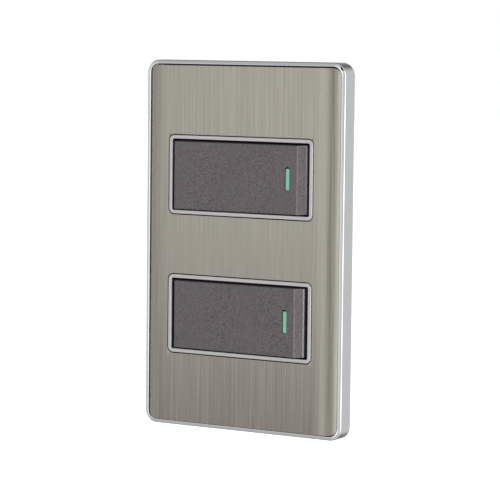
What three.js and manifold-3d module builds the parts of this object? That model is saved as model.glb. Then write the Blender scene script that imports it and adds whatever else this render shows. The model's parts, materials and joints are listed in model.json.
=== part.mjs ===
// Two-gang rocker wall switch with a brushed steel cover plate, in millimetres.
// +Z is up and -Y faces the room. The origin is the centre of the wall plane, y = 0: the cover plate stands
// in front of it (y < 0) and the switch modules and their screws reach into the wall box (y > 0).

import * as THREE from "three";
import { mergeVertices } from "three/addons/utils/BufferGeometryUtils.js";
import Module from "manifold-3d";

const wasm = await Module();
wasm.setup();

// ---------------------------------------------------------------- driving dimensions

const PLATE_WIDTH = 75;
const PLATE_HEIGHT = 120;
const PLATE_CORNER = 4.3;
const BOX_SCREW_SPACING = 83.5; // standard spacing of the wall box's two tapped lugs
const PLATE_SCREW_SPACING = 100;
const MODULE_PITCH = 22.8; // the strap has three bays on this pitch; the switches use the outer two
const GAP = 0.3; // assembly gap between neighbouring pieces
const THIN_GAP = 0.1; // between a piece and the part that it is riveted or pressed onto

// Depth stations along Y, from the room to the back of the wall box.
const RIM_FRONT = -6.4;
const STEEL_FRONT = -8.1;
const BEZEL_FRONT = -8.3;
const ROCKER_FRONT = -8.35; // rocker face when level
const WALL = 0;
const HOUSING_FRONT = 1.2;
const HOUSING_BACK = 25.4;

// Chromed trim frame: a rim, a ledge that the cover sits on, and a rear pocket for the base.
const RIM_WIDTH = 1.4;
const EDGE_ROUND = 0.3;
const LEDGE_FRONT = -4.1;
const LEDGE_BACK = -2.9;
const LEDGE_WIDTH = 4.1;
const NIB = { reach: 0.9, root: 0.4, depth: [-1, -0.4], halfLength: 3, heights: [-30, 30] };

// Brushed steel face: flat in the middle, with its left and right margins rolled back to the rim.
const STEEL_THICKNESS = 0.6;
const FLAT_HALF_WIDTH = 27.5;
const ROLL_DROP = 2.4;
const ROLL_POWER = 2.6;
const ROLL_STEPS = 9;
const CORE_BACK = LEDGE_FRONT - GAP;
const CORE_INSET = 1.2; // the core stops short of the face's left and right edges

// Windows and their bezels.
const BEZEL_WIDTH = 54.4;
const BEZEL_HEIGHT = 25.7;
const BEZEL_CORNER = 1.8;
const BEZEL_LIP = 1.2;
const BEZEL_FLANGE = 1.3; // how far the hidden rear flange reaches past the bezel

// Base: a ribbed moulding behind the core, screwed to the strap.
const BASE_FRONT = -2.6;
const BASE_BACK = -1.2;
const BASE_CLEARANCE = 0.4;
const HEAD_HOLE = { size: 9.5, corner: 4.5 }; // clears a box screw's head
const BASE_SCREW_HOLE = 1.95;
const RIB = { width: 1, back: -0.4, x: [28.2, 34.4], reach: 45, pitch: 15 };

// Mounting strap: pressed steel, with its sides turned back into the wall box.
const STRAP_FRONT = -1;
const STRAP_WIDTH = 46;
const STRAP_HEIGHT = 108;
const STRAP_CORNER = 2;
const BAY_WIDTH = 39;
const BAY_HEIGHT = 22.8;
const BAY_CORNER = 0.5;
const ADJUST_SLOT = { width: 8, height: 4.6, corner: 2.29 };
const STRAP_SCREW_HOLE = 1.8;
const TURNED_SIDE = { thickness: 1, back: 2.4, halfLength: 37 };

// Screws: head and shank radii, head height and length under the head.
const BOX_SCREW = { headRadius: 3.6, headHeight: 1.7, shankRadius: 1.95, length: 16 };
const PLATE_SCREW = { headRadius: 3, headHeight: 1.2, shankRadius: 1.65, length: 7 };

// Rocker: half sizes at its face, and the sloped finger strip at its marked end.
const ROCKER_LEFT = -25.05;
const ROCKER_CREASE = 21.35;
const ROCKER_RIGHT = 24.25;
const STRIP_DEPTH = 1.2;
const STRIP_SIDE_DRAFT = 0.6; // the side behind the strip leans less than the others
const ROCKER_HALF_HEIGHT = 10.8;
const ROCKER_BACK = -3.7;
const ROCKER_WALL = 1.3;
const DRAFT = THREE.MathUtils.degToRad(7);
const MARK_X = 17.7;
const MARK_WIDTH = 1.5;
const MARK_LENGTH = 7.5;
const MARK_RECESS = 0.15;
const MARK_END_FLAT = 0.01; // how much less than half its width the mark's ends are rounded
const MARK_FOOT = { margin: 0.8, corner: 0.6, back: 0.7 };
const LUG = { halfWidth: 2.4, heights: [5.1, 6.7] }; // the two lugs that turn on the pivot pin
const FIN = { rootHalfWidth: 1.8, rootHalfHeight: 4, halfWidth: 0.6, halfHeight: 3.5, bead: 0.9 };
const FIN_ROOT_BACK = 1.4; // how far the lugs and the fin's root reach past the pivot

// Switching mechanism: the rocker's drive fin turns the actuator, whose plunger flips the contact blade.
const ROCKER_PIVOT_Y = -4;
const ACTUATOR_PIVOT_Y = 10.5;
const FIN_REACH = 12;
const ACTUATOR_ARM = ACTUATOR_PIVOT_Y - ROCKER_PIVOT_Y - FIN_REACH;
const BLADE_PIVOT_Y = 17.9;
const ROCKER_TILT = THREE.MathUtils.degToRad(0.8); // each way from level
const ACTUATOR_RATIO = -FIN_REACH / ACTUATOR_ARM;
const BLADE_RATIO = 5;
const PIN_RADIUS = 0.93;
const PIN_HALF_LENGTH = 9.2;
const PIN_BORE = 1;
const AXLE_RADIUS = 1.2;
const AXLE_BORE = 1.3;

// Module front frame: its flange has a rear lip that closes the slit between it and the base.
const FLANGE = { width: 51.6, height: 22.4, front: -2.4, clearance: 0.5 };
const FLANGE_LIP = { reach: 0.8, front: -1.7 };
const PLUG = { halfWidth: 17.4, halfHeight: 7.8, back: 10.4 };
const CHANNEL = { halfWidth: 3.6, halfHeight: 6, forkFront: 2, forkHalfHeight: 8.5, back: 11.5 };
const TONGUE_POCKET = { x: [7.6, 14.4], front: -0.9, z: [7.8, 9.6] };
const PIN_BEARING = { halfWidth: 2.6, margin: 1.7, z: [7.4, 9] };
const AXLE_BEARING = { halfWidth: 2.8, margin: 2.4, z: [8, 9.3] };
const BARB = { x: [19, 19.9], halfHeight: 3 };

// Housing and its wire clamps.
const HOUSING_WALL = 1.4;
const HOUSING_CORNER = 1;
const HOUSING_CHAMFER = 0.6;
const CHAMBER_FRONT = 13.3; // where the ribs round the contacts begin
const CHAMBER_RIB = { halfWidth: 9.3, z: [5.6, 10] };
const ABUTMENT = { x: [8.5, 9.3], z: [3.2, 10] }; // backs a lock spring
const TONGUE = { x: [8, 14], front: -0.6, back: 4, z: [8.2, 9.3, 10] };
const WIRE_X = 13.7;
const WIRE_Z = 5;
const WIRE_HOLE = 1.5;
const WIRE_LEAD_IN = { radius: 2.2, depth: 0.7 };
const GAUGE = { x: [-5.5, 5.5], y: [9, 10.2], depth: 0.5 }; // strip-length gauge in the housing's top
const RELEASE_X = 10.75;
const RELEASE_SLOT = { halfWidth: 1.15, halfHeight: 1.4 };

// Actuator and plunger.
const ARM = { halfWidth: 2.6, front: 1.5, back: 2, halfHeight: 5 };
const FORK = { slot: 1, outer: 2.3, reach: 1.1, halfHeight: 3.4, root: 1.3 };
const AXLE_HALF_LENGTH = 9.2;
const BARREL = { radius: 2.4, bore: 1.5, floor: 12.3, end: 15.6 };
const PLUNGER = { front: 14.9, collar: 1.35, collarLength: 0.8, step: 0.2, nose: 0.9, noseGap: 0.6 };
const COIL = { radius: 1.1, wire: 0.18, turns: 3.5, start: 12.6, end: 14.4 };

// Contacts: blade, tips and terminals.
const BLADE = { reach: 9.2, flat: 3, half: 0.3, lift: 0.25, halfHeight: 2.4 };
const TIP = { x: 8, radius: 1.3, height: 0.6 };
const TERMINAL = { thickness: 0.8, halfHeight: 2, wall: [15.6, 16.4], wallFront: 11, wallHalfHeight: 8 };
const COMMON = { front: 19.2, right: 1.2, ridge: 0.9, overlap: 0.2 };
const LOAD_LEFT = 5.8;

// Lock springs and release sliders.
const LOCK = { bend: 1.2, half: 0.18, x: 11, y: 18.6, front: 13, tip: [15, 15], halfHeight: 1.8 };
const LOCK_TURN = 0.8 * Math.PI;
const SLIDER = { halfWidth: 0.9, bar: [22.7, 23.7], barReach: 6.2, foot: 21.2, halfHeight: 1.2, recess: 0.2 };

// Colour, roughness and metalness of each finish.
const FINISHES = {
  chrome: ["#c9c9cb", 0.12, 1],
  steel: ["#a29f95", 0.38, 1],
  bezel: ["#b3b1b4", 0.45, 0.2],
  rocker: ["#645f60", 0.5, 0.35],
  mark: ["#8bc6ac", 0.4, 0],
  plate_plastic: ["#3c3c3e", 0.6, 0],
  module_plastic: ["#343436", 0.6, 0],
  housing_plastic: ["#dcd9cf", 0.6, 0],
  actuator_plastic: ["#e9e7e0", 0.45, 0],
  release_plastic: ["#c8742c", 0.5, 0],
  zinc: ["#b9bcc0", 0.4, 1],
  spring_steel: ["#9fa2a6", 0.3, 1],
  brass: ["#b08d4c", 0.35, 1],
  copper: ["#b4764a", 0.35, 1],
  silver: ["#d6d6d4", 0.25, 1],
};

// ---------------------------------------------------------------- solids

/** Turns a closed three.js geometry into a manifold solid. */
function toSolid(geometry) {
  const bare = geometry.clone();
  bare.deleteAttribute("normal");
  bare.deleteAttribute("uv");
  const merged = mergeVertices(bare, 1e-5);
  return new wasm.Manifold(
    new wasm.Mesh({
      numProp: 3,
      vertProperties: new Float32Array(merged.attributes.position.array),
      triVerts: new Uint32Array(merged.index.array),
    }),
  );
}

/** Turns a manifold solid back into a three.js geometry. */
function toGeometry(solid) {
  const mesh = solid.getMesh();
  const geometry = new THREE.BufferGeometry();
  geometry.setAttribute("position", new THREE.BufferAttribute(mesh.vertProperties, 3));
  geometry.setIndex(new THREE.BufferAttribute(mesh.triVerts, 1));
  geometry.computeVertexNormals();
  return geometry;
}

/** Joins geometries, then cuts the holes from the result. */
function carve(pieces, holes = []) {
  let solid = toSolid(pieces[0]);
  for (const piece of pieces.slice(1)) {
    solid = solid.add(toSolid(piece));
  }
  for (const hole of holes) {
    solid = solid.subtract(toSolid(hole));
  }
  return toGeometry(solid);
}

/** Keeps only the part of a geometry that is inside a mask. */
function clip(geometry, mask) {
  return toGeometry(toSolid(geometry).intersect(toSolid(mask)));
}

/** A box between two corners, given as a range along each axis. */
function box([x0, x1], [y0, y1], [z0, z1]) {
  const geometry = new THREE.BoxGeometry(Math.abs(x1 - x0), Math.abs(y1 - y0), Math.abs(z1 - z0));
  return geometry.translate((x0 + x1) / 2, (y0 + y1) / 2, (z0 + z1) / 2);
}

/** A box given by its half width, its range along Y and its half height. */
function centredBox(halfWidth, yRange, halfHeight) {
  return box([-halfWidth, halfWidth], yRange, [-halfHeight, halfHeight]);
}

/** Turns a range over to one side of the middle: side is 1 or -1. */
function onSide(side, [near, far]) {
  return [side * near, side * far];
}

/** A cylinder along Y. */
function rodY(radius, [y0, y1], x = 0, z = 0, sides = 14) {
  return new THREE.CylinderGeometry(radius, radius, y1 - y0, sides).translate(x, (y0 + y1) / 2, z);
}

/** A cylinder along Z. */
function rodZ(radius, [z0, z1], x = 0, y = 0, sides = 20) {
  const rod = new THREE.CylinderGeometry(radius, radius, z1 - z0, sides).rotateX(Math.PI / 2);
  return rod.translate(x, y, (z0 + z1) / 2);
}

/** A rounded rectangle in the X-Z plane, centred on a height. */
function roundedRectangle(width, height, radius, centreZ = 0) {
  const right = width / 2 - radius;
  const top = height / 2 - radius;
  const shape = new THREE.Shape();
  shape.absarc(right, centreZ + top, radius, 0, Math.PI / 2);
  shape.absarc(-right, centreZ + top, radius, Math.PI / 2, Math.PI);
  shape.absarc(-right, centreZ - top, radius, Math.PI, 1.5 * Math.PI);
  shape.absarc(right, centreZ - top, radius, 1.5 * Math.PI, 2 * Math.PI);
  return shape;
}

/** Extrudes an X-Z shape through a range of Y, with an optional rounding of its front and back edges. */
function slab(shape, [front, back], round = 0, curveSegments = 3) {
  const geometry = new THREE.ExtrudeGeometry(shape, {
    depth: back - front - 2 * round,
    bevelEnabled: round > 0,
    bevelSize: round,
    bevelThickness: round,
    bevelOffset: -round,
    bevelSegments: 1,
    curveSegments,
  });
  return geometry.rotateX(Math.PI / 2).translate(0, back - round, 0);
}

/** Extrudes an X-Y outline through a range of Z. */
function prism(outline, [z0, z1]) {
  const shape = new THREE.Shape(outline.map(([x, y]) => new THREE.Vector2(x, y)));
  return new THREE.ExtrudeGeometry(shape, { depth: z1 - z0, bevelEnabled: false }).translate(0, 0, z0);
}

/** A named mesh with one of the finishes. */
function piece(name, geometry, finish) {
  const [color, roughness, metalness] = FINISHES[finish];
  const mesh = new THREE.Mesh(geometry, new THREE.MeshStandardMaterial({ color, roughness, metalness }));
  mesh.name = name;
  return mesh;
}

/** A group turned about a vertical axis at x = 0 and the given y. */
function turned(angle, pivotY, meshes) {
  const inner = new THREE.Group();
  inner.position.y = -pivotY;
  inner.add(...meshes);
  const outer = new THREE.Group();
  outer.position.y = pivotY;
  outer.rotation.z = angle;
  outer.add(inner);
  return outer;
}

// ---------------------------------------------------------------- cover plate

const WINDOW_HEIGHTS = [MODULE_PITCH, -MODULE_PITCH];

/** The window cut through the steel and the core, one per bezel. */
function windowHole(centreZ) {
  const grow = 2 * GAP;
  const shape = roundedRectangle(BEZEL_WIDTH + grow, BEZEL_HEIGHT + grow, BEZEL_CORNER + GAP, centreZ);
  return slab(shape, [STEEL_FRONT - 1, LEDGE_BACK]);
}

/** Front surface of the rolled steel face at a distance x from the middle. */
function faceDepth(x, halfWidth) {
  const past = Math.max(0, Math.abs(x) - FLAT_HALF_WIDTH) / (halfWidth - FLAT_HALF_WIDTH);
  return STEEL_FRONT + ROLL_DROP * past ** ROLL_POWER;
}

/** X positions across the face, with the rolled margins divided evenly. */
function rollStations(halfWidth) {
  const side = Array.from(
    { length: ROLL_STEPS + 1 },
    (_, i) => FLAT_HALF_WIDTH + ((halfWidth - FLAT_HALF_WIDTH) * i) / ROLL_STEPS,
  );
  return [...side.map((x) => -x).reverse(), ...side];
}

function buildTrimFrame() {
  const outer = roundedRectangle(PLATE_WIDTH, PLATE_HEIGHT, PLATE_CORNER);
  const pocket = roundedRectangle(
    PLATE_WIDTH - 2 * RIM_WIDTH,
    PLATE_HEIGHT - 2 * RIM_WIDTH,
    PLATE_CORNER - RIM_WIDTH,
  );
  const through = roundedRectangle(
    PLATE_WIDTH - 2 * (RIM_WIDTH + LEDGE_WIDTH),
    PLATE_HEIGHT - 2 * (RIM_WIDTH + LEDGE_WIDTH),
    EDGE_ROUND,
  );
  const ring = carve(
    [slab(outer, [RIM_FRONT, WALL], EDGE_ROUND, 5)],
    [
      slab(pocket, [RIM_FRONT - 1, LEDGE_FRONT]),
      slab(pocket, [LEDGE_BACK, WALL + 1]),
      slab(through, [LEDGE_FRONT - 1, LEDGE_BACK + 1]),
    ],
  );
  // Snap nibs on the side walls hold the base from behind.
  const wallX = PLATE_WIDTH / 2 - RIM_WIDTH;
  const nibs = [-1, 1].flatMap((side) => {
    const x = [side * (wallX - NIB.reach), side * (wallX + NIB.root)];
    return NIB.heights.map((z) => box(x, NIB.depth, [z - NIB.halfLength, z + NIB.halfLength]));
  });
  return carve([ring, ...nibs]);
}

/** The round-cornered outline that the face and its core are cut to. */
function cornerMask(halfWidth, halfHeight) {
  const shape = roundedRectangle(2 * halfWidth, 2 * halfHeight, PLATE_CORNER - RIM_WIDTH - GAP);
  return slab(shape, [STEEL_FRONT - 1, LEDGE_BACK]);
}

function buildFacePlate() {
  const halfWidth = PLATE_WIDTH / 2 - RIM_WIDTH - GAP;
  const halfHeight = PLATE_HEIGHT / 2 - RIM_WIDTH - GAP;
  const stations = rollStations(halfWidth);
  const front = stations.map((x) => [x, faceDepth(x, halfWidth)]);
  const back = stations.map((x) => [x, faceDepth(x, halfWidth) + STEEL_THICKNESS]).reverse();
  const sheet = prism([...front, ...back], [-halfHeight, halfHeight]);
  return carve([clip(sheet, cornerMask(halfWidth, halfHeight))], WINDOW_HEIGHTS.map(windowHole));
}

function buildFaceCore() {
  const halfWidth = PLATE_WIDTH / 2 - RIM_WIDTH - GAP;
  const edge = halfWidth - CORE_INSET;
  const halfHeight = PLATE_HEIGHT / 2 - RIM_WIDTH - 2 * GAP;
  const inset = STEEL_THICKNESS + 2 * THIN_GAP;
  const front = rollStations(halfWidth)
    .filter((x) => Math.abs(x) < edge)
    .map((x) => [x, faceDepth(x, halfWidth) + inset]);
  const core = prism([...front, [edge, CORE_BACK], [-edge, CORE_BACK]], [-halfHeight, halfHeight]);
  return carve([clip(core, cornerMask(halfWidth, halfHeight))], WINDOW_HEIGHTS.map(windowHole));
}

function buildBezel(centreZ) {
  const rim = roundedRectangle(BEZEL_WIDTH, BEZEL_HEIGHT, BEZEL_CORNER, centreZ);
  const flange = roundedRectangle(
    BEZEL_WIDTH + 2 * BEZEL_FLANGE,
    BEZEL_HEIGHT + 2 * BEZEL_FLANGE,
    BEZEL_CORNER,
    centreZ,
  );
  const opening = roundedRectangle(
    BEZEL_WIDTH - 2 * BEZEL_LIP,
    BEZEL_HEIGHT - 2 * BEZEL_LIP,
    EDGE_ROUND,
    centreZ,
  );
  return carve(
    [slab(rim, [BEZEL_FRONT, LEDGE_BACK]), slab(flange, [LEDGE_FRONT, LEDGE_BACK])],
    [slab(opening, [BEZEL_FRONT - 1, LEDGE_BACK + 1])],
  );
}

/** Holes for the box screws' heads or slots, and for the plate screws, in a flat piece. */
function screwHoles(yRange, boxHole, plateHoleRadius) {
  return [-1, 1].flatMap((end) => [
    slab(boxHole((end * BOX_SCREW_SPACING) / 2), yRange),
    rodY(plateHoleRadius, yRange, 0, (end * PLATE_SCREW_SPACING) / 2),
  ]);
}

function buildPlateBase() {
  const shrink = 2 * (RIM_WIDTH + BASE_CLEARANCE);
  const corner = PLATE_CORNER - RIM_WIDTH - GAP;
  const outline = roundedRectangle(PLATE_WIDTH - shrink, PLATE_HEIGHT - shrink, corner);
  const cutRange = [BASE_FRONT - 1, BASE_BACK + 1];
  const headHole = (z) => roundedRectangle(HEAD_HOLE.size, HEAD_HOLE.size, HEAD_HOLE.corner, z);
  // Each bay clears a module's flange, and is stepped at the back for the flange's lip.
  const bays = WINDOW_HEIGHTS.flatMap((z) => {
    const bay = 2 * FLANGE.clearance;
    const step = 2 * (FLANGE_LIP.reach + GAP);
    const front = roundedRectangle(FLANGE.width + bay, FLANGE.height + bay, BAY_CORNER, z);
    const back = roundedRectangle(FLANGE.width + step, FLANGE.height + step, BAY_CORNER, z);
    return [slab(front, cutRange), slab(back, [FLANGE_LIP.front - GAP, BASE_BACK + 1])];
  });
  const ribDepth = [BASE_BACK - 0.5 * RIB.width, RIB.back];
  const ribs = [];
  for (const side of [-1, 1]) {
    const [inner, outer] = RIB.x.map((x) => side * x);
    ribs.push(box([inner, inner + side * RIB.width], ribDepth, [-RIB.reach, RIB.reach]));
    for (let z = -RIB.reach; z <= RIB.reach; z += RIB.pitch) {
      ribs.push(box([inner, outer], ribDepth, [z - RIB.width / 2, z + RIB.width / 2]));
    }
  }
  const plate = slab(outline, [BASE_FRONT, BASE_BACK]);
  return carve([plate, ...ribs], [...bays, ...screwHoles(cutRange, headHole, BASE_SCREW_HOLE)]);
}

function buildMountingStrap() {
  const outline = roundedRectangle(STRAP_WIDTH, STRAP_HEIGHT, STRAP_CORNER);
  const cutRange = [STRAP_FRONT - 1, WALL + 1];
  const adjustSlot = (z) => roundedRectangle(ADJUST_SLOT.width, ADJUST_SLOT.height, ADJUST_SLOT.corner, z);
  const bay = (z) => slab(roundedRectangle(BAY_WIDTH, BAY_HEIGHT, BAY_CORNER, z), cutRange);
  const edge = STRAP_WIDTH / 2;
  const { thickness, back, halfLength } = TURNED_SIDE;
  const sides = [-1, 1].map((side) =>
    box([side * (edge - thickness), side * edge], [STRAP_FRONT, back], [-halfLength, halfLength]),
  );
  return carve(
    [slab(outline, [STRAP_FRONT, WALL]), ...sides],
    [...WINDOW_HEIGHTS.map(bay), ...screwHoles(cutRange, adjustSlot, STRAP_SCREW_HOLE)],
  );
}

/** A pan-head screw with a cross recess. Its head stands in front of y = seat. */
function buildScrew({ headRadius, headHeight, shankRadius, length }, seat, z) {
  const crown = { flat: 0.55, shoulder: 0.9, shoulderHeight: 0.6, edgeHeight: 0.25 }; // shares of the head
  const pointRadius = 0.6 * shankRadius;
  const profile = [
    [0, -headHeight],
    [headRadius * crown.flat, -headHeight],
    [headRadius * crown.shoulder, -headHeight * crown.shoulderHeight],
    [headRadius, -headHeight * crown.edgeHeight],
    [headRadius, 0],
    [shankRadius, 0],
    [shankRadius, length - shankRadius],
    [pointRadius, length],
    [0, length],
  ].map(([r, y]) => new THREE.Vector2(r, y));
  const body = new THREE.LatheGeometry(profile, 14).translate(0, seat, z);
  const recess = { arm: 0.6 * headRadius, half: 0.13 * headRadius, depth: 0.6 * headHeight };
  const headFront = seat - headHeight;
  const depth = [headFront - 1, headFront + recess.depth];
  const across = box([-recess.arm, recess.arm], depth, [z - recess.half, z + recess.half]);
  const upright = box([-recess.half, recess.half], depth, [z - recess.arm, z + recess.arm]);
  return carve([body], [across, upright]);
}

function buildCover() {
  const cover = new THREE.Group();
  cover.add(
    piece("trim_frame", buildTrimFrame(), "chrome"),
    piece("face_plate", buildFacePlate(), "steel"),
    piece("face_core", buildFaceCore(), "plate_plastic"),
    piece("upper_bezel", buildBezel(MODULE_PITCH), "bezel"),
    piece("lower_bezel", buildBezel(-MODULE_PITCH), "bezel"),
    piece("plate_base", buildPlateBase(), "plate_plastic"),
    piece("mounting_strap", buildMountingStrap(), "zinc"),
  );
  for (const [end, sign] of [["top", 1], ["bottom", -1]]) {
    const boxScrew = buildScrew(BOX_SCREW, STRAP_FRONT - THIN_GAP, (sign * BOX_SCREW_SPACING) / 2);
    const plateScrew = buildScrew(PLATE_SCREW, BASE_FRONT - THIN_GAP, (sign * PLATE_SCREW_SPACING) / 2);
    cover.add(piece(`box_screw_${end}`, boxScrew, "zinc"), piece(`plate_screw_${end}`, plateScrew, "zinc"));
  }
  return cover;
}

// ---------------------------------------------------------------- rocker

/** Half height of the rocker's drafted body at a given y. */
function draftedHalfHeight(y) {
  return ROCKER_HALF_HEIGHT + (y - ROCKER_FRONT) * Math.tan(DRAFT);
}

function buildRocker() {
  const draftRun = (ROCKER_BACK - ROCKER_FRONT) * Math.tan(DRAFT);
  const reach = draftedHalfHeight(ROCKER_BACK);
  const outer = prism(
    [
      [ROCKER_LEFT, ROCKER_FRONT],
      [ROCKER_CREASE, ROCKER_FRONT],
      [ROCKER_RIGHT, ROCKER_FRONT + STRIP_DEPTH],
      [ROCKER_RIGHT + STRIP_SIDE_DRAFT * draftRun, ROCKER_BACK],
      [ROCKER_LEFT - draftRun, ROCKER_BACK],
    ],
    [-reach, reach],
  );
  // The sloped top and bottom are cut with wedges that leave the draft angle.
  const wedge = [
    [ROCKER_FRONT - 1, draftedHalfHeight(ROCKER_FRONT - 1)],
    [ROCKER_BACK + 1, draftedHalfHeight(ROCKER_BACK + 1)],
    [ROCKER_BACK + 1, reach + 2],
    [ROCKER_FRONT - 1, reach + 2],
  ];
  const wedgeShape = new THREE.Shape(wedge.map(([y, z]) => new THREE.Vector2(y, z)));
  const wedgeLength = 2 * BEZEL_WIDTH;
  const topWedge = new THREE.ExtrudeGeometry(wedgeShape, { depth: wedgeLength, bevelEnabled: false });
  // The outline's first axis becomes Y, its second becomes Z, and its extrusion runs along X.
  const axes = new THREE.Matrix4().makeBasis(
    new THREE.Vector3(0, 1, 0),
    new THREE.Vector3(0, 0, 1),
    new THREE.Vector3(1, 0, 0),
  );
  topWedge.applyMatrix4(axes).translate(-wedgeLength / 2, 0, 0);
  const bottomWedge = topWedge.clone().rotateX(Math.PI).translate(0, ROCKER_FRONT + ROCKER_BACK, 0);
  const inside = ROCKER_FRONT + ROCKER_WALL;
  const cavity = prism(
    [
      [ROCKER_LEFT + ROCKER_WALL, inside],
      [ROCKER_CREASE, inside],
      [ROCKER_RIGHT - ROCKER_WALL, inside + STRIP_DEPTH],
      [ROCKER_RIGHT - ROCKER_WALL, ROCKER_BACK + 1],
      [ROCKER_LEFT + ROCKER_WALL, ROCKER_BACK + 1],
    ],
    [ROCKER_WALL - ROCKER_HALF_HEIGHT, ROCKER_HALF_HEIGHT - ROCKER_WALL],
  );
  const markSlot = slab(
    roundedRectangle(MARK_WIDTH + GAP, MARK_LENGTH + GAP, (MARK_WIDTH + GAP) / 2 - MARK_END_FLAT),
    [ROCKER_FRONT - 1, inside + 1],
  ).translate(MARK_X, 0, 0);
  const shell = carve([outer], [topWedge, bottomWedge, cavity, markSlot]);
  const root = [inside - THIN_GAP, ROCKER_PIVOT_Y + FIN_ROOT_BACK];
  const lugs = [-1, 1].map((end) => box([-LUG.halfWidth, LUG.halfWidth], root, onSide(end, LUG.heights)));
  // The drive fin: a wide root round the pivot pin, a thin neck and a rounded bead at its tip.
  const beadY = ROCKER_PIVOT_Y + FIN_REACH;
  const fin = [
    centredBox(FIN.rootHalfWidth, root, FIN.rootHalfHeight),
    centredBox(FIN.halfWidth, [ROCKER_PIVOT_Y + PIN_BORE, beadY], FIN.halfHeight),
    rodZ(FIN.bead, [-FIN.halfHeight, FIN.halfHeight], 0, beadY, 16),
  ];
  const bore = rodZ(PIN_BORE, [-LUG.heights[1] - 1, LUG.heights[1] + 1], 0, ROCKER_PIVOT_Y);
  return carve([shell, ...lugs, ...fin], [bore]);
}

/** The luminous mark: a bar in the rocker's slot, with a foot behind the rocker's wall. */
function buildMark() {
  const inside = ROCKER_FRONT + ROCKER_WALL;
  const bar = roundedRectangle(MARK_WIDTH, MARK_LENGTH, MARK_WIDTH / 2 - MARK_END_FLAT);
  const { margin, corner, back } = MARK_FOOT;
  const foot = roundedRectangle(MARK_WIDTH + 2 * margin, MARK_LENGTH + 2 * margin, corner);
  return carve([
    slab(bar, [ROCKER_FRONT + MARK_RECESS, inside + back / 2]).translate(MARK_X, 0, 0),
    slab(foot, [inside + THIN_GAP, inside + back]).translate(MARK_X, 0, 0),
  ]);
}

// ---------------------------------------------------------------- switch module

/** The module's front frame: a flange, a body that plugs the housing, and both pivots' bearings. */
function buildModuleFrame() {
  const flange = slab(roundedRectangle(FLANGE.width, FLANGE.height, BAY_CORNER), [FLANGE.front, BASE_BACK]);
  const lip = slab(
    roundedRectangle(FLANGE.width + 2 * FLANGE_LIP.reach, FLANGE.height + 2 * FLANGE_LIP.reach, BAY_CORNER),
    [FLANGE_LIP.front, BASE_BACK],
  );
  const collar = slab(
    roundedRectangle(BAY_WIDTH - 2 * GAP, BAY_HEIGHT - 2 * GAP, BAY_CORNER),
    [FLANGE_LIP.front, HOUSING_FRONT - GAP],
  );
  const plug = centredBox(PLUG.halfWidth, [WALL, PLUG.back], PLUG.halfHeight);
  const channel = centredBox(CHANNEL.halfWidth, [BASE_FRONT - 1, CHANNEL.back], CHANNEL.halfHeight);
  const forkRoom = centredBox(CHANNEL.halfWidth, [CHANNEL.forkFront, CHANNEL.back], CHANNEL.forkHalfHeight);
  const bearingSplit = BASE_BACK - GAP;
  const pinBearing = [ROCKER_PIVOT_Y - PIN_BEARING.margin, bearingSplit];
  const axleBearing = [bearingSplit, ACTUATOR_PIVOT_Y + AXLE_BEARING.margin];
  const pockets = [];
  const bearings = [];
  const barbs = [];
  for (const side of [-1, 1]) {
    bearings.push(
      box([-PIN_BEARING.halfWidth, PIN_BEARING.halfWidth], pinBearing, onSide(side, PIN_BEARING.z)),
      box([-AXLE_BEARING.halfWidth, AXLE_BEARING.halfWidth], axleBearing, onSide(side, AXLE_BEARING.z)),
    );
    // A barb behind each side rail of the strap.
    barbs.push(box(onSide(side, BARB.x), [GAP, HOUSING_FRONT - GAP], [-BARB.halfHeight, BARB.halfHeight]));
    // Pockets for the housing's clip tongues.
    for (const end of [-1, 1]) {
      const { x, front, z } = TONGUE_POCKET;
      pockets.push(box(onSide(side, x), [front, HOUSING_FRONT], onSide(end, z)));
    }
  }
  const core = carve([flange, lip, collar, plug], [channel, forkRoom, ...pockets]);
  const bores = [
    rodZ(PIN_BORE, [-BAY_HEIGHT / 2, BAY_HEIGHT / 2], 0, ROCKER_PIVOT_Y),
    rodZ(AXLE_BORE, [-BAY_HEIGHT / 2, BAY_HEIGHT / 2], 0, ACTUATOR_PIVOT_Y),
  ];
  return carve([core, ...bearings, ...barbs], bores);
}

/** A wire hole with a conical lead-in, cut into the housing's back. */
function wireHole(x, z, innerBack) {
  // The cone is centred on the back face, so it runs as far past the face as it runs in.
  const { radius, depth } = WIRE_LEAD_IN;
  const outerRadius = 2 * radius - WIRE_HOLE;
  const cone = new THREE.CylinderGeometry(outerRadius, WIRE_HOLE, 2 * depth, 14);
  return [rodY(WIRE_HOLE, [innerBack - 1, HOUSING_BACK + 1], x, z), cone.translate(x, HOUSING_BACK, z)];
}

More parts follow.
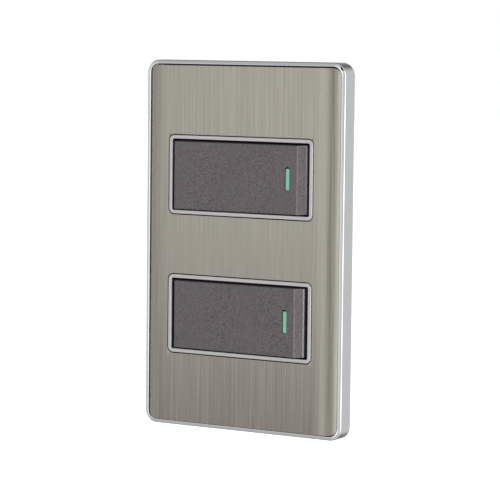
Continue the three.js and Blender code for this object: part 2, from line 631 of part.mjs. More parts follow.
/** The module's rear box, open at the front, with wire holes and release slots in its back. */
function buildHousing() {
  const width = BAY_WIDTH - 2 * GAP;
  const height = BAY_HEIGHT - 2 * GAP;
  const innerBack = HOUSING_BACK - HOUSING_WALL;
  const shell = slab(
    roundedRectangle(width, height, HOUSING_CORNER),
    [HOUSING_FRONT, HOUSING_BACK],
    HOUSING_CHAMFER,
  );
  const cavity = slab(
    roundedRectangle(width - 2 * HOUSING_WALL, height - 2 * HOUSING_WALL, BAY_CORNER),
    [HOUSING_FRONT - 1, innerBack],
  );
  const throughBack = [innerBack - 1, HOUSING_BACK + 1];
  const chamber = [CHAMBER_FRONT, HOUSING_BACK - HOUSING_WALL / 2];
  const holes = [box(GAUGE.x, GAUGE.y, [height / 2 - GAUGE.depth, height / 2 + 1])];
  const ribs = [];
  for (const side of [-1, 1]) {
    // A thick wall above or below the contact chamber.
    ribs.push(box([-CHAMBER_RIB.halfWidth, CHAMBER_RIB.halfWidth], chamber, onSide(side, CHAMBER_RIB.z)));
    const { halfWidth, halfHeight } = RELEASE_SLOT;
    holes.push(centredBox(halfWidth, throughBack, halfHeight).translate(side * RELEASE_X, 0, 0));
    for (const end of [-1, 1]) {
      holes.push(...wireHole(side * WIRE_X, end * WIRE_Z, innerBack));
      const [zInner, zStep, zOuter] = TONGUE.z.map((z) => end * z);
      const tongueX = onSide(side, TONGUE.x);
      ribs.push(
        box(onSide(side, ABUTMENT.x), chamber, onSide(end, ABUTMENT.z)),
        // A tongue that clips inside the front frame.
        box(tongueX, [HOUSING_FRONT + GAP, TONGUE.back], [zInner, zOuter]),
        box(tongueX, [TONGUE.front, TONGUE.back], [zInner, zStep]),
      );
    }
  }
  return carve([carve([shell], [cavity, ...holes]), ...ribs]);
}

/** The inner rocker: a fork on the fin's bead, an axle, and a barrel that holds the plunger. */
function buildActuator() {
  const forkFront = ROCKER_PIVOT_Y + FIN_REACH - FORK.reach;
  const y = ACTUATOR_PIVOT_Y;
  const body = centredBox(ARM.halfWidth, [y - ARM.front, y + ARM.back], ARM.halfHeight);
  const prongs = [-1, 1].map((side) =>
    box(onSide(side, [FORK.slot, FORK.outer]), [forkFront, y], [-FORK.halfHeight, FORK.halfHeight]),
  );
  const axle = rodZ(AXLE_RADIUS, [-AXLE_HALF_LENGTH, AXLE_HALF_LENGTH], 0, y);
  const barrel = rodY(BARREL.radius, [y, BARREL.end]);
  const bore = rodY(BARREL.bore, [BARREL.floor, BARREL.end + 1]);
  const beadRoom = centredBox(FORK.slot, [forkFront - 1, y - FORK.root], ARM.halfHeight + 1);
  return carve([body, ...prongs, axle, barrel], [bore, beadRoom]);
}

/** The plunger: a collar that the spring pushes on, and a rounded nose. */
function buildPlunger() {
  const { front, collar, collarLength, step, nose, noseGap } = PLUNGER;
  const noseCentre = BLADE_PIVOT_Y - noseGap - nose;
  const profile = [
    [0, front],
    [collar, front],
    [collar, front + collarLength],
    [nose, front + collarLength + step],
  ].map(([r, y]) => new THREE.Vector2(r, y));
  const noseSteps = 4;
  for (let i = 0; i < noseSteps; i += 1) {
    const angle = ((Math.PI / 2) * i) / noseSteps;
    profile.push(new THREE.Vector2(nose * Math.cos(angle), noseCentre + nose * Math.sin(angle)));
  }
  profile.push(new THREE.Vector2(0, noseCentre + nose));
  return new THREE.LatheGeometry(profile, 12);
}

/** A helix along Y, for the coil spring's wire. */
class Helix extends THREE.Curve {
  constructor(radius, turns, start, end) {
    super();
    Object.assign(this, { radius, turns, start, end });
  }

  getPoint(t, target = new THREE.Vector3()) {
    const angle = 2 * Math.PI * this.turns * t;
    const y = this.start + (this.end - this.start) * t;
    return target.set(this.radius * Math.cos(angle), y, this.radius * Math.sin(angle));
  }
}

function buildPlungerSpring() {
  const coil = new Helix(COIL.radius, COIL.turns, COIL.start, COIL.end);
  const section = new THREE.Shape().absarc(0, 0, COIL.wire, 0, 2 * Math.PI);
  return new THREE.ExtrudeGeometry(section, { extrudePath: coil, steps: 10 * COIL.turns, curveSegments: 3 });
}

/** The see-saw contact blade, bent up slightly at its free end. */
function buildContactBlade() {
  const { reach, flat, half, lift, halfHeight } = BLADE;
  const front = BLADE_PIVOT_Y - half;
  const back = BLADE_PIVOT_Y + half;
  const outline = [
    [-reach, front - lift],
    [-flat, front],
    [reach, front],
    [reach, back],
    [-flat, back],
    [-reach, back - lift],
  ];
  return prism(outline, [-halfHeight, halfHeight]);
}

/** A silver rivet head on the blade or on the load terminal. */
function buildContactTip(front) {
  return rodY(TIP.radius, [front, front + TIP.height], TIP.x, 0);
}

const BLADE_BACK = BLADE_PIVOT_Y + BLADE.half;
const MOVING_TIP_FRONT = BLADE_BACK + THIN_GAP;
const TIP_SWING = TIP.x * Math.sin(ROCKER_TILT * BLADE_RATIO); // of the moving tip, each way from level
const FIXED_TIP_FRONT = MOVING_TIP_FRONT + TIP.height + TIP_SWING + 2 * THIN_GAP;

/** A terminal's tab towards the contacts, and its upright wall that the wires are clamped against. */
function terminalPieces(side, inner, front) {
  const [wallInner, wallOuter] = TERMINAL.wall;
  const back = front + TERMINAL.thickness;
  return [
    box([inner, side * wallOuter], [front, back], [-TERMINAL.halfHeight, TERMINAL.halfHeight]),
    box(
      [side * wallInner, side * wallOuter],
      [TERMINAL.wallFront, back],
      [-TERMINAL.wallHalfHeight, TERMINAL.wallHalfHeight],
    ),
  ];
}

/** The common terminal carries the ridge that the blade rocks on. */
function buildCommonTerminal() {
  const { front, right, ridge, overlap } = COMMON;
  const foot = front + overlap;
  const ridgeOutline = [[-ridge, foot], [0, BLADE_BACK + THIN_GAP], [ridge, foot]];
  return carve([
    ...terminalPieces(-1, right, front),
    prism(ridgeOutline, [-TERMINAL.halfHeight, TERMINAL.halfHeight]),
  ]);
}

/** The load terminal carries the fixed contact. */
function buildLoadTerminal() {
  return carve(terminalPieces(1, LOAD_LEFT, FIXED_TIP_FRONT + TIP.height + THIN_GAP));
}

/** A wire clamp: a strip that runs up its abutment, bends back, and leans on the terminal wall. */
function buildLockSpring(side, end) {
  const arcSteps = 6;
  const tipNormal = [0.6, 0.8];
  const offset = (distance) => {
    const radius = LOCK.bend + distance;
    const arc = Array.from({ length: arcSteps + 1 }, (_, i) => {
      const angle = Math.PI - (i * LOCK_TURN) / arcSteps;
      return [LOCK.x + radius * Math.cos(angle), LOCK.y + radius * Math.sin(angle)];
    });
    const tip = LOCK.tip.map((value, axis) => value + distance * tipNormal[axis]);
    return [[LOCK.x - radius, LOCK.front], ...arc, tip];
  };
  const outline = [...offset(LOCK.half), ...offset(-LOCK.half).reverse()].map(([x, y]) => [side * x, y]);
  return prism(outline, [end * WIRE_Z - LOCK.halfHeight, end * WIRE_Z + LOCK.halfHeight]);
}

/** The wire release: a stem in the housing's slot, a cross bar, and a foot above each lock spring. */
function buildReleaseSlider(side) {
  const { halfWidth, bar, barReach, foot, halfHeight, recess } = SLIDER;
  const cross = centredBox(halfWidth, bar, barReach);
  const stem = centredBox(halfWidth, [bar[0], HOUSING_BACK - recess], halfHeight);
  const feet = [-1, 1].map((end) =>
    centredBox(halfWidth, [foot, bar[1]], halfHeight).translate(0, 0, end * WIRE_Z),
  );
  return carve([cross, stem, ...feet]).translate(side * RELEASE_X, 0, 0);
}

/** One switch module. Tilt is +1 with the marked end pressed in (on), and -1 with it raised (off). */
function buildModule(prefix, centreZ, tilt) {
  const rest = tilt * ROCKER_TILT;
  const name = (part) => `${prefix}_${part}`;
  const pin = rodZ(PIN_RADIUS, [-PIN_HALF_LENGTH, PIN_HALF_LENGTH], 0, ROCKER_PIVOT_Y);
  const module = new THREE.Group();
  module.position.z = centreZ;
  module.add(
    piece(name("module_frame"), buildModuleFrame(), "module_plastic"),
    piece(name("housing"), buildHousing(), "housing_plastic"),
    piece(name("pivot_pin"), pin, "spring_steel"),
    piece(name("common_terminal"), buildCommonTerminal(), "brass"),
    piece(name("load_terminal"), buildLoadTerminal(), "brass"),
    piece(name("fixed_contact_tip"), buildContactTip(FIXED_TIP_FRONT), "silver"),
    turned(rest, ROCKER_PIVOT_Y, [
      piece(name("rocker"), buildRocker(), "rocker"),
      piece(name("mark"), buildMark(), "mark"),
    ]),
    turned(rest * ACTUATOR_RATIO, ACTUATOR_PIVOT_Y, [
      piece(name("actuator"), buildActuator(), "actuator_plastic"),
      piece(name("plunger"), buildPlunger(), "actuator_plastic"),
      piece(name("plunger_spring"), buildPlungerSpring(), "spring_steel"),
    ]),
    turned(rest * BLADE_RATIO, BLADE_PIVOT_Y, [
      piece(name("contact_blade"), buildContactBlade(), "copper"),
      piece(name("moving_contact_tip"), buildContactTip(MOVING_TIP_FRONT), "silver"),
    ]),
  );
  for (const [sideName, side] of [["left", -1], ["right", 1]]) {
    module.add(piece(name(`release_${sideName}`), buildReleaseSlider(side), "release_plastic"));
    for (const [endName, end] of [["top", 1], ["bottom", -1]]) {
      const spring = buildLockSpring(side, end);
      module.add(piece(name(`lock_spring_${sideName}_${endName}`), spring, "spring_steel"));
    }
  }
  return module;
}

const wallSwitch = new THREE.Group();
wallSwitch.add(buildCover(), buildModule("upper", MODULE_PITCH, 1), buildModule("lower", -MODULE_PITCH, -1));

export default wallSwitch;
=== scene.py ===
"""A two-gang rocker wall switch: fine shapes, materials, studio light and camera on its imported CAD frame.

The cover, the rockers and the screws are rebuilt here with finer edges and stand for their CAD nodes.
The other nodes keep their CAD meshes, with softened edges and materials of their own.
Sizes are in millimetres until a mesh or camera is written in metres. +Z is up and -Y faces the room.
"""

import json
import math

import bmesh
import bpy
from mathutils import Matrix, Vector


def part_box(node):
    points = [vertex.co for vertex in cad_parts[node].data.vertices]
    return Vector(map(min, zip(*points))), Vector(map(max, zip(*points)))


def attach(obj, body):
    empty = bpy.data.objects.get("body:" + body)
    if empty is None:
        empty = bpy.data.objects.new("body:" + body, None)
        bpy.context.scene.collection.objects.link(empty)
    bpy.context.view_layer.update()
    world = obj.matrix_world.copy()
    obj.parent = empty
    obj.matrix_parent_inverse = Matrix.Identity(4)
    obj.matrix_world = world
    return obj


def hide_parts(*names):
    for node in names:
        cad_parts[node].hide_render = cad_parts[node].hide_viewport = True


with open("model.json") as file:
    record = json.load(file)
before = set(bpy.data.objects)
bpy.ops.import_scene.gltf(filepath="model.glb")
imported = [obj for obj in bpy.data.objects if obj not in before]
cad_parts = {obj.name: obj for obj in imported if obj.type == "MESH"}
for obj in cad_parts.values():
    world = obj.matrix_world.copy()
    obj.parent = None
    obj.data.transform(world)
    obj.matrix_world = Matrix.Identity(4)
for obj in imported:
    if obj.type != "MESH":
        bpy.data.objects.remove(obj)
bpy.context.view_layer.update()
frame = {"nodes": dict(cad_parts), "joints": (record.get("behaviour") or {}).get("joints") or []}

MM = 0.001

# ---------------------------------------------------------------- sizes shared with the CAD model

PLATE_WIDTH = 75
PLATE_HEIGHT = 120
PLATE_CORNER = 4.3
GAP = 0.3
RIM_WIDTH = 1.4
RIM_FRONT = -6.4
LEDGE_FRONT = -4.1
LEDGE_BACK = -2.9
LEDGE_WIDTH = 4.1
STEEL_FRONT = -8.1
STEEL_THICKNESS = 0.6
FLAT_HALF_WIDTH = 27.5
ROLL_DROP = 2.4
ROLL_POWER = 2.6
BEZEL_FRONT = -8.3
BEZEL_WIDTH = 54.4
BEZEL_HEIGHT = 25.7
BEZEL_CORNER = 1.8
BEZEL_LIP = 1.2
BEZEL_FLANGE = 1.3
MODULE_CENTRES = {"upper": 22.8, "lower": -22.8}
ROCKER_FRONT = -8.35
ROCKER_CREASE = 21.35
STRIP_DEPTH = 1.2
MARK_X = 17.7
MARK_WIDTH = 1.5
MARK_LENGTH = 7.5
MARK_RECESS = 0.15

# ---------------------------------------------------------------- finer shapes

# Trim frame: its rim's front falls by RIM_SLOPE from the inner edge to the outer one.
RIM_SLOPE = 0.5
RIM_ROUND = 0.5
RIM_INNER_ROUND = 0.25
RIM_BACK_ROUND = 0.25
LEDGE_ROUND = 0.2

# Steel face, and the black strips put in the gaps above and below it as painted shade.
SIDE_GAP = 0.1
STEEL_EDGE = 0.03
ROLL_STEPS = 28
SHADE_STRIP_FRONT = -6.2
SHADE_STRIP_THICKNESS = 0.24

# Bezels, and the black liners inside them, which paint the shade in the gaps round the rockers.
BEZEL_ROUND = 0.3
BEZEL_INNER_ROUND = 0.22
SHADE_RING_FRONT = -7.85
SHADE_RING_THICKNESS = 0.12

# Rockers: edge roundings, and how much lighter the colour is painted on the strip, its crease and the
# right-hand edges: painted highlights where the light catches them.
FRONT_ROUND = {"width": 0.35, "steps": 5}
CREASE_ROUND = {"width": 0.2, "steps": 4}
INNER_ROUND = {"width": 0.1, "steps": 2}
CREASE_PAINTED_HIGHLIGHT = 1
STRIP_PAINTED_LIGHT = 0.3
EDGE_PAINTED_GLINT = 4
STRIP_TILT = 0.2  # the finger strip's faces look at least this much to the right and to the front

# Marks: how far one is rounded, how deep it goes, and the open slot above it.
MARK_ROUND = 0.25
MARK_DEPTH = 1.6
MARK_END_STEPS = 8
MARK_TOP_GAP = 0.3

# The other nodes' edges.
CAD_ROUND = 0.12

# How finely round shapes are divided.
CORNER_STEPS = 14
FILLET_STEPS = 5
EDGE_STEPS = 2
ROUND_PROFILE = 0.5  # a bevel's profile when it is a circular arc
LEAST_RADIUS = 0.3  # of a swept ring's corners

# What counts as the same point or plane, as close by, as a crease and as a sharp edge.
SAME_POINT = 1e-3
NEAR = 0.01
CREASE_SPREAD = 0.05
SAME_PLANE = math.radians(1)
LEAST_CREASE = math.radians(3)
SHARP_ANGLE = math.radians(35)


# ---------------------------------------------------------------- meshes


def make_object(name, mesh, body, slot, nodes):
    """Links a finished mesh as a piece that rides on a body and stands for CAD nodes."""
    piece = bpy.data.objects.new(name, mesh)
    bpy.context.scene.collection.objects.link(piece)
    piece.data.materials.append(MATERIALS[slot])
    piece.data.shade_smooth()
    piece.data.set_sharp_from_angle(angle=SHARP_ANGLE)
    normals = piece.modifiers.new("flat_faces_stay_flat", "WEIGHTED_NORMAL")
    normals.keep_sharp = True
    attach(piece, body)
    if nodes:
        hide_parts(*nodes)


def rounded_rectangle(width, height, radius, centre_z=0.0, steps=CORNER_STEPS):
    """Points of a rounded rectangle in the X-Z plane, anticlockwise seen from the front."""
    right = width / 2 - radius
    top = height / 2 - radius
    points = []
    for quarter, (side, end) in enumerate([(1, 1), (-1, 1), (-1, -1), (1, -1)]):
        for step in range(steps + 1):
            angle = (quarter + step / steps) * math.pi / 2
            x = side * right + radius * math.cos(angle)
            z = centre_z + end * top + radius * math.sin(angle)
            points.append((x, z))
    return points


def filleted(corners):
    """A closed outline whose corners (x, y, radius) are rounded; a radius of 0 keeps the corner."""
    outline = []
    for index, (x, y, radius) in enumerate(corners):
        corner = Vector((x, y))
        if radius == 0:
            outline.append(corner)
            continue
        before = Vector(corners[index - 1][:2])
        after = Vector(corners[(index + 1) % len(corners)][:2])
        to_before = (before - corner).normalized()
        to_after = (after - corner).normalized()
        half_angle = to_before.angle(to_after) / 2
        centre = corner + (to_before + to_after).normalized() * (radius / math.sin(half_angle))
        start = corner + to_before * (radius / math.tan(half_angle)) - centre
        end = corner + to_after * (radius / math.tan(half_angle)) - centre
        turn = start.angle_signed(end)
        for step in range(FILLET_STEPS + 1):
            outline.append(centre + Matrix.Rotation(-turn * step / FILLET_STEPS, 2) @ start)
    return outline


def swept_ring(profile, width, height, corner, centre_z=0.0):
    """A mesh ring: a profile of (inset, y) points carried round a rounded rectangle."""
    mesh = bmesh.new()
    rings = []
    for inset, y in profile:
        radius = max(corner - inset, LEAST_RADIUS)
        outline = rounded_rectangle(width - 2 * inset, height - 2 * inset, radius, centre_z)
        rings.append([mesh.verts.new(Vector((x, y, z)) * MM) for x, z in outline])
    for ring, following in zip(rings, rings[1:] + rings[:1]):
        for index in range(len(ring)):
            beyond = (index + 1) % len(ring)
            mesh.faces.new((ring[index], ring[beyond], following[beyond], following[index]))
    bmesh.ops.recalc_face_normals(mesh, faces=mesh.faces)
    return mesh


def cut_sheet(loops, front, back, edge_radius):
    """A flat sheet between two depths, cut to loops of (x, z) points, with holes and rounded edges."""
    curve = bpy.data.curves.new("cut_sheet", "CURVE")
    curve.dimensions = "2D"
    curve.fill_mode = "BOTH"
    curve.extrude = ((back - front) / 2 - edge_radius) * MM
    curve.bevel_depth = edge_radius * MM
    curve.bevel_resolution = EDGE_STEPS
    curve.offset = -edge_radius * MM
    for loop in loops:
        spline = curve.splines.new("POLY")
        spline.points.add(len(loop) - 1)
        spline.use_cyclic_u = True
        for point, (x, z) in zip(spline.points, loop):
            point.co = (x * MM, z * MM, 0, 1)
    holder = bpy.data.objects.new("cut_sheet", curve)
    mesh = bmesh.new()
    mesh.from_mesh(holder.to_mesh())
    holder.to_mesh_clear()
    bpy.data.objects.remove(holder)
    bpy.data.curves.remove(curve)
    stand_up = Matrix.Rotation(math.pi / 2, 4, "X")
    place = Matrix.Translation((0, (front + back) / 2 * MM, 0))
    bmesh.ops.transform(mesh, matrix=place @ stand_up, verts=mesh.verts)
    bmesh.ops.remove_doubles(mesh, verts=mesh.verts, dist=SAME_POINT * MM)
    return mesh


def cad_mesh(name, turn=None):
    """A working copy of a CAD node's mesh, turned if asked, with its shared points merged."""
    mesh = bmesh.new()
    mesh.from_mesh(frame["nodes"][name].data)
    if turn:
        bmesh.ops.transform(mesh, matrix=turn, verts=mesh.verts)
    bmesh.ops.remove_doubles(mesh, verts=mesh.verts, dist=SAME_POINT * MM)
    return mesh


def join_planes(mesh):
    """Joins the triangles that lie in one plane."""
    bmesh.ops.dissolve_limit(mesh, angle_limit=SAME_PLANE, verts=mesh.verts, edges=mesh.edges)


def bevel(mesh, edges, width, steps):
    """Rounds edges of a mesh, and gives back the new faces."""
    rounded = bmesh.ops.bevel(
        mesh,
        geom=edges,
        offset=width * MM,
        segments=steps,
        profile=ROUND_PROFILE,
        affect="EDGES",
        clamp_overlap=True,
    )
    return rounded["faces"]


def sharp_edges(mesh):
    """The edges that turn by more than SHARP_ANGLE."""
    return [edge for edge in mesh.edges if edge.calc_face_angle(0) > SHARP_ANGLE]


def written(mesh, name):
    """Writes a bmesh out as mesh data."""
    data = bpy.data.meshes.new(name)
    mesh.to_mesh(data)
    mesh.free()
    return data


# ---------------------------------------------------------------- materials


def node(tree, kind, inputs=None, **settings):
    """Adds a node with its settings, and its input values or links."""
    made = tree.nodes.new(kind)
    for setting, value in settings.items():
        setattr(made, setting, value)
    for socket, value in (inputs or {}).items():
        if isinstance(value, bpy.types.NodeSocket):
            tree.links.new(value, made.inputs[socket])
        else:
            made.inputs[socket].default_value = value
    return made


def sum_of(tree, start, terms):
    """A start value plus each (signal, weight) term, where 0.5 is the middle of a signal."""
    total = start
    for signal, weight in terms:
        centred = node(tree, "ShaderNodeMath", {0: signal, 1: 0.5}, operation="SUBTRACT").outputs[0]
        scaled = node(tree, "ShaderNodeMath", {0: centred, 1: weight, 2: total}, operation="MULTIPLY_ADD")
        total = scaled.outputs[0]
    return total


def grain(tree, size, detail, seed):
    """Noise in the piece's own space. size is the length of one feature along X, Y and Z in millimetres."""
    coordinates = node(tree, "ShaderNodeTexCoord").outputs["Object"]
    frequency = [1 / (length * MM) for length in size]
    placing = {"Vector": coordinates, "Scale": frequency, "Location": [seed] * 3}
    mapped = node(tree, "ShaderNodeMapping", placing)
    noise = node(tree, "ShaderNodeTexNoise", {"Vector": mapped.outputs[0], "Scale": 1.0, "Detail": detail})
    return noise.outputs["Fac"]


def linear(colour):
    """A colour in 0-255 screen values as linear light, by the sRGB curve."""
    return [((value / 255 + 0.055) / 1.055) ** 2.4 for value in colour]


def finish(name, colour, roughness, layers, metallic=0.0, constants=None, painted_highlight_gain=0.0):
    """A material whose tone, gloss and relief vary by layers of grain, lighter on faces that carry a painted
    highlight.

    Each layer is (feature size in mm along X, Y, Z; detail; tone share; roughness share; relief in mm).
    """
    material = bpy.data.materials.new(name)
    material.use_nodes = True
    tree = material.node_tree
    shader = tree.nodes["Principled BSDF"]
    shader.inputs["Metallic"].default_value = metallic
    for socket, value in (constants or {}).items():
        shader.inputs[socket].default_value = value
    sizes, details, tone_shares, roughness_shares, reliefs = zip(*layers)
    signals = [grain(tree, size, detail, seed) for seed, (size, detail) in enumerate(zip(sizes, details))]
    tones = sum_of(tree, 1.0, zip(signals, tone_shares))
    # Painted highlight: the tone is raised on faces by a per-face attribute that the rocker sets on its
    # strip, crease and right-facing edges.
    if painted_highlight_gain:
        painted_highlight = node(tree, "ShaderNodeAttribute", attribute_name="painted_highlight").outputs["Fac"]
        lightened = node(tree, "ShaderNodeMath", {0: painted_highlight, 1: painted_highlight_gain, 2: tones}, operation="MULTIPLY_ADD")
        tones = lightened.outputs[0]
    tint = node(tree, "ShaderNodeVectorMath", {0: linear(colour), "Scale": tones}, operation="SCALE")
    tree.links.new(tint.outputs[0], shader.inputs["Base Color"])
    gloss = sum_of(tree, roughness, zip(signals, roughness_shares))
    tree.links.new(gloss, shader.inputs["Roughness"])
    relief = sum_of(tree, 0.0, zip(signals, reliefs))
    bump = node(tree, "ShaderNodeBump", {"Height": relief, "Distance": MM, "Strength": 1.0})
    tree.links.new(bump.outputs[0], shader.inputs["Normal"])
    return material


def cubes(size):
    """The same feature size along every axis."""
    return (size, size, size)


# Layers of grain for each kind of surface.
MOULDED = [(cubes(0.25), 2, 0.10, 0.10, 0.004), (cubes(6), 2, 0.10, 0.06, 0.0)]
PLATED = [(cubes(0.6), 3, 0.12, 0.15, 0.002), (cubes(5), 3, 0.12, 0.12, 0.003)]
STAMPED = [((0.15, 0.15, 3), 2, 0.15, 0.15, 0.002), (cubes(4), 3, 0.12, 0.1, 0.0)]
FLAKE = [(cubes(0.3), 1, 1.9, 0.2, 0.006), (cubes(0.9), 2, 0.6, 0.05, 0.0), (cubes(12), 1, 0.12, 0.0, 0.0)]
BRUSHED = [
    ((0.2, 2, 26), 2, 0.55, 0.15, 0.0006),
    ((0.6, 2, 110), 2, 0.4, 0.1, 0.0006),
    ((5, 5, 260), 1, 0.08, 0.0, 0.0),
]

MATERIALS = {
    "chrome_trim": finish("chrome_trim", (226, 226, 228), 0.05, [(cubes(3), 2, 0.04, 0.03, 0.001)], 1.0),
    "brushed_face": finish("brushed_face", (160, 157, 147), 0.24, BRUSHED, 1.0, {"Anisotropic": 0.7}),
    "bezel": finish("bezel", (200, 198, 199), 0.36, [(cubes(0.2), 1, 0.12, 0.1, 0.002)], 0.35),
    # The rockers' plastic takes the painted highlights set on its faces.
    "rocker_plastic": finish("rocker_plastic", (103, 97, 99), 0.46, FLAKE, 0.3, painted_highlight_gain=0.8),
    "luminous_mark": finish("luminous_mark", (132, 206, 173), 0.4, [(cubes(0.5), 1, 0.1, 0.1, 0.002)]),
    "plate_plastic": finish("plate_plastic", (60, 60, 62), 0.6, MOULDED),
    "module_plastic": finish("module_plastic", (40, 40, 42), 0.6, MOULDED),
    "housing_plastic": finish("housing_plastic", (216, 213, 203), 0.5, MOULDED),
    "actuator_plastic": finish("actuator_plastic", (233, 231, 224), 0.4, MOULDED),
    "release_plastic": finish("release_plastic", (200, 112, 44), 0.45, MOULDED),
    "zinc_steel": finish("zinc_steel", (186, 190, 196), 0.35, PLATED, 1.0),
    "spring_steel": finish("spring_steel", (160, 163, 168), 0.28, STAMPED, 1.0),
    "brass": finish("brass", (200, 160, 84), 0.3, STAMPED, 1.0),
    "copper": finish("copper", (205, 134, 96), 0.3, STAMPED, 1.0),
    "silver": finish("silver", (222, 222, 220), 0.25, PLATED, 1.0),
}


def brush_along_height():
    """Gives the brushed face a tangent across its vertical brushing."""
    tree = MATERIALS["brushed_face"].node_tree
    tangent = node(tree, "ShaderNodeTangent", direction_type="UV_MAP", uv_map="across")
    tree.links.new(tangent.outputs[0], tree.nodes["Principled BSDF"].inputs["Tangent"])


brush_along_height()

# ---------------------------------------------------------------- cover


def build_trim_frame():
    """The chromed rim, with the ledge that the cover's face sits on."""
    inner = RIM_WIDTH
    ledge = RIM_WIDTH + LEDGE_WIDTH
    profile = filleted(
        [
            (0, 0, RIM_BACK_ROUND),
            (0, RIM_FRONT + RIM_SLOPE, RIM_ROUND),
            (inner, RIM_FRONT, RIM_INNER_ROUND),
            (inner, LEDGE_FRONT, 0),
            (ledge, LEDGE_FRONT, LEDGE_ROUND),
            (ledge, LEDGE_BACK, LEDGE_ROUND),
            (inner, LEDGE_BACK, LEDGE_ROUND),
            (inner, 0, LEDGE_ROUND),
        ]
    )
    mesh = swept_ring(profile, PLATE_WIDTH, PLATE_HEIGHT, PLATE_CORNER)
    rim = written(mesh, "trim_frame_fine")
    make_object("trim_frame_fine", rim, "switch_body", "chrome_trim", ["trim_frame"])


def build_gap_shade_strips():
    """Black strips that fill the gaps above and below the steel face, inside the rim: painted shade, since
    those gaps only lie in shadow.
    """
    across = PLATE_WIDTH - 2 * PLATE_CORNER
    middle = PLATE_HEIGHT / 2 - RIM_WIDTH - GAP / 2
    for end, side in (("top", 1), ("bottom", -1)):
        mesh = bmesh.new()
        bmesh.ops.create_cube(mesh, size=1)
        size = Vector((across, LEDGE_FRONT - SHADE_STRIP_FRONT, SHADE_STRIP_THICKNESS)) * MM
        centre = Vector((0, (LEDGE_FRONT + SHADE_STRIP_FRONT) / 2, side * middle)) * MM
        bmesh.ops.transform(mesh, matrix=Matrix.LocRotScale(centre, None, size), verts=mesh.verts)
        name = f"gap_shade_strip_{end}"
        make_object(name, written(mesh, name), "switch_body", "module_plastic", [])


def roll_depth(x, half_width):
    """How far the face's front drops back at a distance x from its middle."""
    past = max(0.0, abs(x) - FLAT_HALF_WIDTH) / (half_width - FLAT_HALF_WIDTH)
    return ROLL_DROP * past**ROLL_POWER


def build_face_plate():
    """The brushed steel sheet, with its two windows and its rolled left and right margins."""
    half_width = PLATE_WIDTH / 2 - RIM_WIDTH - SIDE_GAP
    half_height = PLATE_HEIGHT / 2 - RIM_WIDTH - GAP
    corner = PLATE_CORNER - RIM_WIDTH - GAP
    loops = [rounded_rectangle(2 * half_width, 2 * half_height, corner)]
    for centre_z in MODULE_CENTRES.values():
        window = (BEZEL_WIDTH + 2 * GAP, BEZEL_HEIGHT + 2 * GAP, BEZEL_CORNER + GAP)
        loops.append(rounded_rectangle(*window, centre_z))
    mesh = cut_sheet(loops, STEEL_FRONT, STEEL_FRONT + STEEL_THICKNESS, STEEL_EDGE)
    for step in range(ROLL_STEPS):
        x = FLAT_HALF_WIDTH + (half_width - FLAT_HALF_WIDTH) * step / ROLL_STEPS
        for side in (-1, 1):
            whole = mesh.verts[:] + mesh.edges[:] + mesh.faces[:]
            bmesh.ops.bisect_plane(mesh, geom=whole, plane_co=(side * x * MM, 0, 0), plane_no=(1, 0, 0))
    for vert in mesh.verts:
        vert.co.y += roll_depth(vert.co.x / MM, half_width) * MM
    across = mesh.loops.layers.uv.new("across")
    for face in mesh.faces:
        for loop in face.loops:
            loop[across].uv = [place / (PLATE_HEIGHT * MM) + 0.5 for place in loop.vert.co.xz]
    sheet = written(mesh, "face_plate_fine")
    make_object("face_plate_fine", sheet, "switch_body", "brushed_face", ["face_plate"])


def build_bezel(module, centre_z):
    """A window's bezel on its hidden flange, and the black liner inside it: painted shade for the gap round
    its rocker.
    """
    profile = filleted(
        [
            (-BEZEL_FLANGE, LEDGE_BACK, 0),
            (-BEZEL_FLANGE, LEDGE_FRONT, 0),
            (0, LEDGE_FRONT, 0),
            (0, BEZEL_FRONT, BEZEL_ROUND),
            (BEZEL_LIP, BEZEL_FRONT, BEZEL_INNER_ROUND),
            (BEZEL_LIP, LEDGE_BACK, 0),
        ]
    )
    mesh = swept_ring(profile, BEZEL_WIDTH, BEZEL_HEIGHT, BEZEL_CORNER, centre_z)
    name = f"{module}_bezel_fine"
    make_object(name, written(mesh, name), "switch_body", "bezel", [f"{module}_bezel"])
    shade_ring_inside = BEZEL_LIP + SHADE_RING_THICKNESS
    shade_ring_profile = [
        (BEZEL_LIP, SHADE_RING_FRONT),
        (shade_ring_inside, SHADE_RING_FRONT + SHADE_RING_THICKNESS),
        (shade_ring_inside, LEDGE_BACK),
        (BEZEL_LIP, LEDGE_BACK),
    ]
    shade_ring = swept_ring(shade_ring_profile, BEZEL_WIDTH, BEZEL_HEIGHT, BEZEL_CORNER, centre_z)
    name = f"{module}_bezel_shade_ring"
    make_object(name, written(shade_ring, name), "switch_body", "module_plastic", [])


# ---------------------------------------------------------------- rockers


def level_matrix(module):
    """Turns a module's rocker from its rest pose to level."""
    joint = next(j for j in frame["joints"] if j["name"] == f"{module}_rocker_tilt")
    middle = math.radians(sum(joint["range_deg"]) / 2)
    pivot = Vector(joint["pos_m"])
    return Matrix.Translation(pivot) @ Matrix.Rotation(middle, 4, "Z") @ Matrix.Translation(-pivot)


def is_front_edge(edge):
    """Whether an edge of a level rocker bounds its front: its face or its finger strip."""
    strip_back = ROCKER_FRONT + STRIP_DEPTH + NEAR
    ahead = all(vert.co.y / MM < strip_back for vert in edge.verts)
    in_slot = all(abs(vert.co.x / MM - MARK_X) < MARK_WIDTH for vert in edge.verts)
    return ahead and not in_slot and edge.calc_face_angle(0) > SHARP_ANGLE


def is_crease(edge):
    """Whether an edge of a level rocker is where its face meets its finger strip."""
    there = all(abs(vert.co.x / MM - ROCKER_CREASE) < CREASE_SPREAD for vert in edge.verts)
    return there and LEAST_CREASE < edge.calc_face_angle(0) < SHARP_ANGLE


